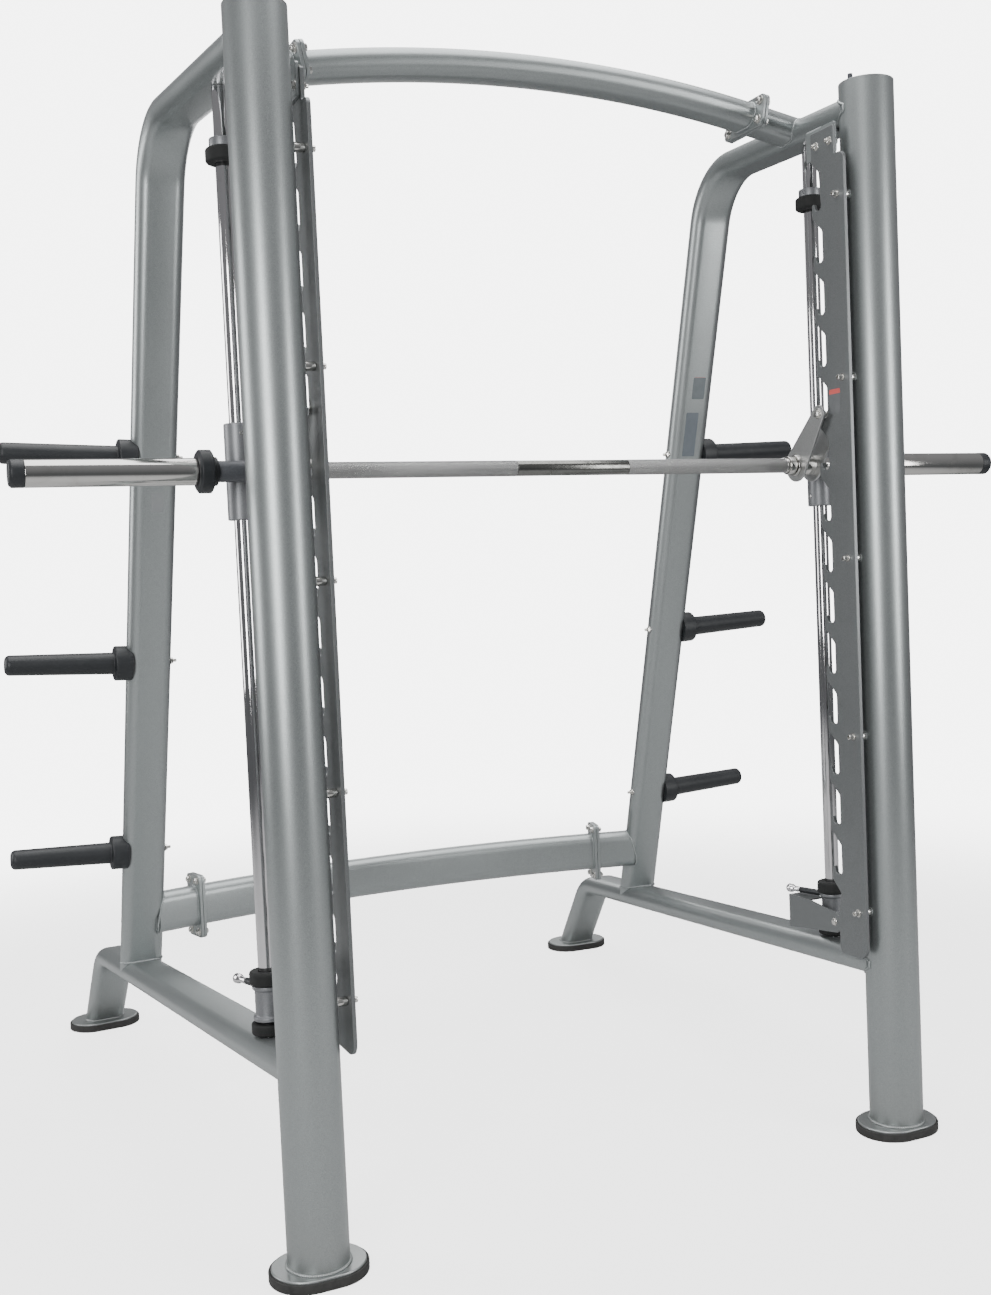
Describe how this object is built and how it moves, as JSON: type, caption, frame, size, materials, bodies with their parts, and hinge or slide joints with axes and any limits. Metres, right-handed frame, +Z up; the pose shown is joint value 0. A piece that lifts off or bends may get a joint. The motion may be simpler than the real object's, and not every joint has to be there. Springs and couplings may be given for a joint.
{
  "type": "smith machine",
  "caption": "Free-standing smith machine with a guided barbell on chrome rods, notched catch plates, round columns, splayed side frames and plate horns.",
  "frame": {"origin": "floor level, under the middle of the bounding box", "axes": "+X to the machine's right along the bar, +Y from the columns towards the rear feet, +Z up"},
  "size_m": [2.2, 1.8809, 2.317],
  "materials": {
    "bar_shaft_chrome": "polished, lightly handled",
    "left_base_bumper_rubber": "matt black",
    "left_bottom_horn_plastic": "black, fine texture",
    "left_carriage_dark": "dark grey satin coat",
    "left_catch_bracket_paint": "satin grey-green metallic powder coat",
    "left_catch_plate_plate": "satin grey powder coat on flat plate",
    "left_column_paint": "satin grey-green metallic powder coat",
    "left_column_cap_dark": "dark grey satin coat",
    "left_end_cap_plastic": "black, fine texture",
    "left_front_foot_pad_rubber": "matt black",
    "left_front_foot_plate_paint": "satin grey-green metallic powder coat",
    "left_guide_rod_chrome": "polished, lightly handled",
    "left_hook_plate": "satin grey powder coat on flat plate",
    "left_lower_rail_paint": "satin grey-green metallic powder coat",
    "left_lower_stub_paint": "satin grey-green metallic powder coat",
    "left_middle_horn_plastic": "black, fine texture",
    "left_rear_foot_pad_rubber": "matt black",
    "left_rear_foot_plate_paint": "satin grey-green metallic powder coat",
    "left_sleeve_chrome": "polished, lightly handled",
    "left_sleeve_flange_plastic": "black, fine texture",
    "left_stop_body_dark": "dark grey satin coat",
    "left_stop_bracket_plate": "satin grey powder coat on flat plate",
    "left_stop_bumper_rubber": "matt black",
    "left_stop_knob_chrome": "polished, lightly handled",
    "left_top_horn_plastic": "black, fine texture",
    "left_top_stub_paint": "satin grey-green metallic powder coat",
    "left_upper_bumper_rubber": "matt black",
    "left_upper_collar_plate": "satin grey powder coat on flat plate",
    "left_upright_paint": "satin grey-green metallic powder coat",
    "lower_crossbar_paint": "satin grey-green metallic powder coat",
    "right_base_bumper_rubber": "matt black",
    "right_bottom_horn_plastic": "black, fine texture",
    "right_carriage_dark": "dark grey satin coat",
    "right_catch_bracket_paint": "satin grey-green metallic powder coat",
    "right_catch_plate_plate": "satin grey powder coat on flat plate",
    "right_column_paint": "satin grey-green metallic powder coat",
    "right_column_cap_dark": "dark grey satin coat",
    "right_end_cap_plastic": "black, fine texture",
    "right_front_foot_pad_rubber": "matt black",
    "right_front_foot_plate_paint": "satin grey-green metallic powder coat",
    "right_guide_rod_chrome": "polished, lightly handled",
    "right_hook_plate": "satin grey powder coat on flat plate",
    "right_lower_rail_paint": "satin grey-green metallic powder coat",
    "right_lower_stub_paint": "satin grey-green metallic powder coat",
    "right_middle_horn_plastic": "black, fine texture",
    "right_rear_foot_pad_rubber": "matt black",
    "right_rear_foot_plate_paint": "satin grey-green metallic powder coat",
    "right_sleeve_chrome": "polished, lightly handled",
    "right_sleeve_flange_plastic": "black, fine texture",
    "right_stop_body_dark": "dark grey satin coat",
    "right_stop_bracket_plate": "satin grey powder coat on flat plate",
    "right_stop_bumper_rubber": "matt black",
    "right_stop_knob_chrome": "polished, lightly handled",
    "right_top_horn_plastic": "black, fine texture",
    "right_top_stub_paint": "satin grey-green metallic powder coat",
    "right_upper_bumper_rubber": "matt black",
    "right_upper_collar_plate": "satin grey powder coat on flat plate",
    "right_upright_paint": "satin grey-green metallic powder coat",
    "top_crossbar_paint": "satin grey-green metallic powder coat"
  },
  "bodies": {
    "frame": {"left_base_bumper": "left_base_bumper_rubber", "left_bottom_horn": "left_bottom_horn_plastic", "left_catch_bracket": "left_catch_bracket_paint", "left_catch_plate": "left_catch_plate_plate", "left_column": "left_column_paint", "left_column_cap": "left_column_cap_dark", "left_front_foot_pad": "left_front_foot_pad_rubber", "left_front_foot_plate": "left_front_foot_plate_paint", "left_guide_rod": "left_guide_rod_chrome", "left_lower_rail": "left_lower_rail_paint", "left_lower_stub": "left_lower_stub_paint", "left_middle_horn": "left_middle_horn_plastic", "left_rear_foot_pad": "left_rear_foot_pad_rubber", "left_rear_foot_plate": "left_rear_foot_plate_paint", "left_top_horn": "left_top_horn_plastic", "left_top_stub": "left_top_stub_paint", "left_upper_bumper": "left_upper_bumper_rubber", "left_upper_collar": "left_upper_collar_plate", "left_upright": "left_upright_paint", "lower_crossbar": "lower_crossbar_paint", "right_base_bumper": "right_base_bumper_rubber", "right_bottom_horn": "right_bottom_horn_plastic", "right_catch_bracket": "right_catch_bracket_paint", "right_catch_plate": "right_catch_plate_plate", "right_column": "right_column_paint", "right_column_cap": "right_column_cap_dark", "right_front_foot_pad": "right_front_foot_pad_rubber", "right_front_foot_plate": "right_front_foot_plate_paint", "right_guide_rod": "right_guide_rod_chrome", "right_lower_rail": "right_lower_rail_paint", "right_lower_stub": "right_lower_stub_paint", "right_middle_horn": "right_middle_horn_plastic", "right_rear_foot_pad": "right_rear_foot_pad_rubber", "right_rear_foot_plate": "right_rear_foot_plate_paint", "right_top_horn": "right_top_horn_plastic", "right_top_stub": "right_top_stub_paint", "right_upper_bumper": "right_upper_bumper_rubber", "right_upper_collar": "right_upper_collar_plate", "right_upright": "right_upright_paint", "top_crossbar": "top_crossbar_paint"},
    "carriages": {"left_carriage": "left_carriage_dark", "right_carriage": "right_carriage_dark"},
    "bar": {"bar_shaft": "bar_shaft_chrome", "left_sleeve": "left_sleeve_chrome", "left_sleeve_flange": "left_sleeve_flange_plastic", "left_end_cap": "left_end_cap_plastic", "left_hook": "left_hook_plate", "right_sleeve": "right_sleeve_chrome", "right_sleeve_flange": "right_sleeve_flange_plastic", "right_end_cap": "right_end_cap_plastic", "right_hook": "right_hook_plate"},
    "left_stop": {"left_stop_body": "left_stop_body_dark", "left_stop_bumper": "left_stop_bumper_rubber", "left_stop_bracket": "left_stop_bracket_plate"},
    "left_knob": {"left_stop_knob": "left_stop_knob_chrome"},
    "right_stop": {"right_stop_body": "right_stop_body_dark", "right_stop_bumper": "right_stop_bumper_rubber", "right_stop_bracket": "right_stop_bracket_plate"},
    "right_knob": {"right_stop_knob": "right_stop_knob_chrome"}
  },
  "joints": [
    {"name": "bar_slide", "type": "slide", "parent": "frame", "child": "carriages", "axis": [0, 0, 1], "range_m": [-0.62, 0.48]},
    {"name": "bar_turn", "type": "hinge", "parent": "carriages", "child": "bar", "pos_m": [0, -0.721, 1.4646], "axis": [-1, 0, 0], "range_deg": [0, 50]},
    {"name": "left_stop_slide", "type": "slide", "parent": "frame", "child": "left_stop", "axis": [0, 0, 1], "range_m": [0, 0.24]},
    {"name": "left_knob_pull", "type": "slide", "parent": "left_stop", "child": "left_knob", "axis": [-0.3489, 0.9371, 0], "range_m": [0, 0.008], "stiffness_N_per_m": 800, "springref_m": -0.004},
    {"name": "right_stop_slide", "type": "slide", "parent": "frame", "child": "right_stop", "axis": [0, 0, 1], "range_m": [0, 0.24]},
    {"name": "right_knob_pull", "type": "slide", "parent": "right_stop", "child": "right_knob", "axis": [-0.2861, 0.9582, 0], "range_m": [0, 0.008], "stiffness_N_per_m": 800, "springref_m": -0.004}
  ]
}
